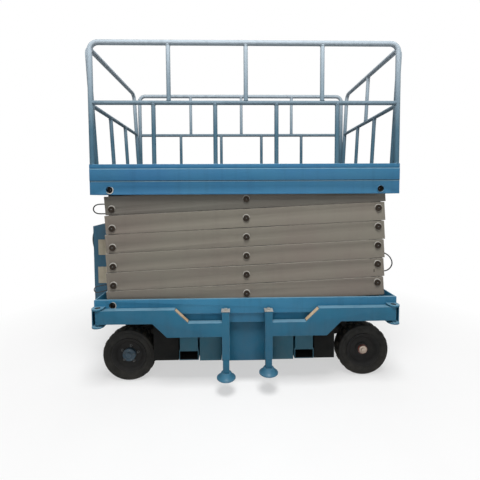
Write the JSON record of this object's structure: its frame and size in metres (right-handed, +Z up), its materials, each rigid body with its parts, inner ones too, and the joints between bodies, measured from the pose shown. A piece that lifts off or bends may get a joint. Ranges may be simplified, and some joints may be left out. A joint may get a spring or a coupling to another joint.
{
  "type": "scissor lift",
  "caption": "Wheeled scissor lift with a stacked arm mast, guard-railed deck, swing-out outriggers and steered wheels.",
  "frame": {"origin": "on the ground, under the middle of the machine's bounding box, with the mast stowed", "axes": "+X to the steered end, +Y across to the far side, +Z up"},
  "size_m": [3.2088, 1.86, 3.3231],
  "materials": {
    "skirt_paint": "semi-gloss",
    "chassis_paint": "semi-gloss",
    "rail_paint": "semi-gloss",
    "arm_paint": "satin",
    "deck_steel": "satin",
    "pin_steel": "brushed",
    "cylinder_paint": "semi-gloss",
    "rod_chrome": "polished",
    "tyre": "matte",
    "rim_paint": "satin",
    "hose_rubber": "matte"
  },
  "bodies": {
    "chassis": {"side_rails": "chassis_paint", "cross_beams": "chassis_paint", "arm_seats": "chassis_paint", "power_box": "chassis_paint", "fork_pockets": "chassis_paint", "outrigger_brackets": "chassis_paint", "drive_axle": "chassis_paint", "steer_axle": "chassis_paint", "control_cabinet": "chassis_paint", "cabinet_lead": "hose_rubber"},
    "outer_1": {"outer_arms_1": "arm_paint"},
    "inner_1": {"inner_arms_1": "arm_paint", "cross_shafts_1": "pin_steel", "hose_inner_1_left": "hose_rubber"},
    "outer_2": {"outer_arms_2": "arm_paint"},
    "inner_2": {"inner_arms_2": "arm_paint", "cross_shafts_2": "pin_steel"},
    "outer_3": {"outer_arms_3": "arm_paint"},
    "inner_3": {"inner_arms_3": "arm_paint", "cross_shafts_3": "pin_steel", "hose_inner_3_right": "hose_rubber"},
    "outer_4": {"outer_arms_4": "arm_paint"},
    "inner_4": {"inner_arms_4": "arm_paint", "cross_shafts_4": "pin_steel"},
    "outer_5": {"outer_arms_5": "arm_paint"},
    "inner_5": {"inner_arms_5": "arm_paint", "cross_shafts_5": "pin_steel", "hose_inner_5_left": "hose_rubber"},
    "outer_6": {"outer_arms_6": "arm_paint", "top_rollers": "pin_steel"},
    "inner_6": {"inner_arms_6": "arm_paint", "cross_shafts_6": "pin_steel"},
    "barrels_1": {"barrels_1": "cylinder_paint"},
    "rods_1": {"piston_rods_1": "rod_chrome"},
    "barrels_4": {"barrels_4": "cylinder_paint"},
    "rods_4": {"piston_rods_4": "rod_chrome"},
    "platform": {"platform_frame": "skirt_paint", "deck_plate": "deck_steel", "rail_near": "rail_paint", "rail_far": "rail_paint", "rail_left": "rail_paint", "rail_right": "rail_paint"},
    "outrigger_near_left": {"outrigger_near_left": "chassis_paint"},
    "jack_near_left": {"jack_near_left": "chassis_paint"},
    "outrigger_near_right": {"outrigger_near_right": "chassis_paint"},
    "jack_near_right": {"jack_near_right": "chassis_paint"},
    "outrigger_far_left": {"outrigger_far_left": "chassis_paint"},
    "jack_far_left": {"jack_far_left": "chassis_paint"},
    "outrigger_far_right": {"outrigger_far_right": "chassis_paint"},
    "jack_far_right": {"jack_far_right": "chassis_paint"},
    "wheel_near_left": {"tyre_near_left": "tyre", "rim_near_left": "rim_paint"},
    "wheel_near_right": {"tyre_near_right": "tyre", "rim_near_right": "rim_paint"},
    "wheel_far_left": {"tyre_far_left": "tyre", "rim_far_left": "rim_paint"},
    "wheel_far_right": {"tyre_far_right": "tyre", "rim_far_right": "rim_paint"},
    "knuckle_near": {"knuckle_near": "chassis_paint"},
    "knuckle_far": {"knuckle_far": "chassis_paint"}
  },
  "joints": [
    {"name": "lift", "type": "hinge", "parent": "chassis", "child": "outer_1", "pos_m": [-1.1864, 0, 0.8615], "axis": [0, -1, 0], "range_deg": [0, 53.81]},
    {"name": "centre_pins_1", "type": "hinge", "parent": "outer_1", "child": "inner_1", "pos_m": [0.0836, 0, 0.95225], "axis": [0, 1, 0], "range_deg": [0, 107.63]},
    {"name": "end_pins_2", "type": "hinge", "parent": "outer_1", "child": "inner_2", "pos_m": [1.3536, 0, 1.043], "axis": [0, 1, 0], "range_deg": [0, 107.63]},
    {"name": "centre_pins_2", "type": "hinge", "parent": "inner_2", "child": "outer_2", "pos_m": [0.0836, 0, 1.13375], "axis": [0, -1, 0], "range_deg": [0, 107.63]},
    {"name": "end_pins_3", "type": "hinge", "parent": "inner_2", "child": "outer_3", "pos_m": [-1.1864, 0, 1.2245], "axis": [0, -1, 0], "range_deg": [0, 107.63]},
    {"name": "centre_pins_3", "type": "hinge", "parent": "outer_3", "child": "inner_3", "pos_m": [0.0836, 0, 1.31525], "axis": [0, 1, 0], "range_deg": [0, 107.63]},
    {"name": "end_pins_4", "type": "hinge", "parent": "outer_3", "child": "inner_4", "pos_m": [1.3536, 0, 1.406], "axis": [0, 1, 0], "range_deg": [0, 107.63]},
    {"name": "centre_pins_4", "type": "hinge", "parent": "inner_4", "child": "outer_4", "pos_m": [0.0836, 0, 1.49675], "axis": [0, -1, 0], "range_deg": [0, 107.63]},
    {"name": "end_pins_5", "type": "hinge", "parent": "inner_4", "child": "outer_5", "pos_m": [-1.1864, 0, 1.5875], "axis": [0, -1, 0], "range_deg": [0, 107.63]},
    {"name": "centre_pins_5", "type": "hinge", "parent": "outer_5", "child": "inner_5", "pos_m": [0.0836, 0, 1.67825], "axis": [0, 1, 0], "range_deg": [0, 107.63]},
    {"name": "end_pins_6", "type": "hinge", "parent": "outer_5", "child": "inner_6", "pos_m": [1.3536, 0, 1.769], "axis": [0, 1, 0], "range_deg": [0, 107.63]},
    {"name": "centre_pins_6", "type": "hinge", "parent": "inner_6", "child": "outer_6", "pos_m": [0.0836, 0, 1.85975], "axis": [0, -1, 0], "range_deg": [0, 107.63]},
    {"name": "platform_pins", "type": "hinge", "parent": "inner_6", "child": "platform", "pos_m": [-1.1864, 0, 1.9505], "axis": [0, -1, 0], "range_deg": [0, 53.81]},
    {"name": "barrel_pivot_1", "type": "hinge", "parent": "inner_1", "child": "barrels_1", "pos_m": [-1.07887, 0, 0.94007], "axis": [0, -1, 0], "range_deg": [0, 101.41]},
    {"name": "cylinder_stroke_1", "type": "slide", "parent": "barrels_1", "child": "rods_1", "axis": [0.9566, 0, 0.2915], "range_m": [0, 0.54972]},
    {"name": "barrel_pivot_4", "type": "hinge", "parent": "inner_4", "child": "barrels_4", "pos_m": [-1.07887, 0, 1.48457], "axis": [0, -1, 0], "range_deg": [0, 101.41]},
    {"name": "cylinder_stroke_4", "type": "slide", "parent": "barrels_4", "child": "rods_4", "axis": [0.9566, 0, 0.2915], "range_m": [0, 0.54972]},
    {"name": "outrigger_swing_near_left", "type": "hinge", "parent": "chassis", "child": "outrigger_near_left", "pos_m": [-1.3054, -0.84, 0.711], "axis": [0, 0, -1], "range_deg": [0, 110]},
    {"name": "jack_stroke_near_left", "type": "slide", "parent": "outrigger_near_left", "child": "jack_near_left", "axis": [0, 0, -1], "range_m": [0, 0.3]},
    {"name": "outrigger_swing_near_right", "type": "hinge", "parent": "chassis", "child": "outrigger_near_right", "pos_m": [1.4726, -0.84, 0.711], "axis": [0, 0, 1], "range_deg": [0, 110]},
    {"name": "jack_stroke_near_right", "type": "slide", "parent": "outrigger_near_right", "child": "jack_near_right", "axis": [0, 0, -1], "range_m": [0, 0.3]},
    {"name": "outrigger_swing_far_left", "type": "hinge", "parent": "chassis", "child": "outrigger_far_left", "pos_m": [-1.3054, 0.84, 0.711], "axis": [0, 0, 1], "range_deg": [0, 110]},
    {"name": "jack_stroke_far_left", "type": "slide", "parent": "outrigger_far_left", "child": "jack_far_left", "axis": [0, 0, -1], "range_m": [0, 0.3]},
    {"name": "outrigger_swing_far_right", "type": "hinge", "parent": "chassis", "child": "outrigger_far_right", "pos_m": [1.4726, 0.84, 0.711], "axis": [0, 0, -1], "range_deg": [0, 110]},
    {"name": "jack_stroke_far_right", "type": "slide", "parent": "outrigger_far_right", "child": "jack_far_right", "axis": [0, 0, -1], "range_m": [0, 0.3]},
    {"name": "steering_near", "type": "hinge", "parent": "chassis", "child": "knuckle_near", "pos_m": [1.3116, -0.345, 0.27], "axis": [0, 0, 1], "range_deg": [-30, 30]},
    {"name": "steering_far", "type": "hinge", "parent": "chassis", "child": "knuckle_far", "pos_m": [1.3116, 0.345, 0.27], "axis": [0, 0, 1], "range_deg": [-30, 30]},
    {"name": "wheel_spin_near_left", "type": "hinge", "parent": "chassis", "child": "wheel_near_left", "pos_m": [-1.1164, -0.508, 0.27], "axis": [0, 1, 0], "continuous": true},
    {"name": "wheel_spin_near_right", "type": "hinge", "parent": "knuckle_near", "child": "wheel_near_right", "pos_m": [1.3116, -0.482, 0.27], "axis": [0, 1, 0], "continuous": true},
    {"name": "wheel_spin_far_left", "type": "hinge", "parent": "chassis", "child": "wheel_far_left", "pos_m": [-1.1164, 0.508, 0.27], "axis": [0, 1, 0], "continuous": true},
    {"name": "wheel_spin_far_right", "type": "hinge", "parent": "knuckle_far", "child": "wheel_far_right", "pos_m": [1.3116, 0.482, 0.27], "axis": [0, 1, 0], "continuous": true}
  ],
  "couplings": [
    {"joint": "centre_pins_1", "follows": "lift", "ratio": 2},
    {"joint": "end_pins_2", "follows": "lift", "ratio": 2},
    {"joint": "centre_pins_2", "follows": "lift", "ratio": 2},
    {"joint": "end_pins_3", "follows": "lift", "ratio": 2},
    {"joint": "centre_pins_3", "follows": "lift", "ratio": 2},
    {"joint": "end_pins_4", "follows": "lift", "ratio": 2},
    {"joint": "centre_pins_4", "follows": "lift", "ratio": 2},
    {"joint": "end_pins_5", "follows": "lift", "ratio": 2},
    {"joint": "centre_pins_5", "follows": "lift", "ratio": 2},
    {"joint": "end_pins_6", "follows": "lift", "ratio": 2},
    {"joint": "centre_pins_6", "follows": "lift", "ratio": 2},
    {"joint": "platform_pins", "follows": "lift", "ratio": 1},
    {"joint": "barrel_pivot_1", "follows": "lift", "ratio": 1.8845},
    {"joint": "cylinder_stroke_1", "follows": "lift", "m_per_rad": 0.58529},
    {"joint": "barrel_pivot_4", "follows": "lift", "ratio": 1.8845},
    {"joint": "cylinder_stroke_4", "follows": "lift", "m_per_rad": 0.58529},
    {"joint": "steering_far", "follows": "steering_near", "ratio": 1}
  ]
}
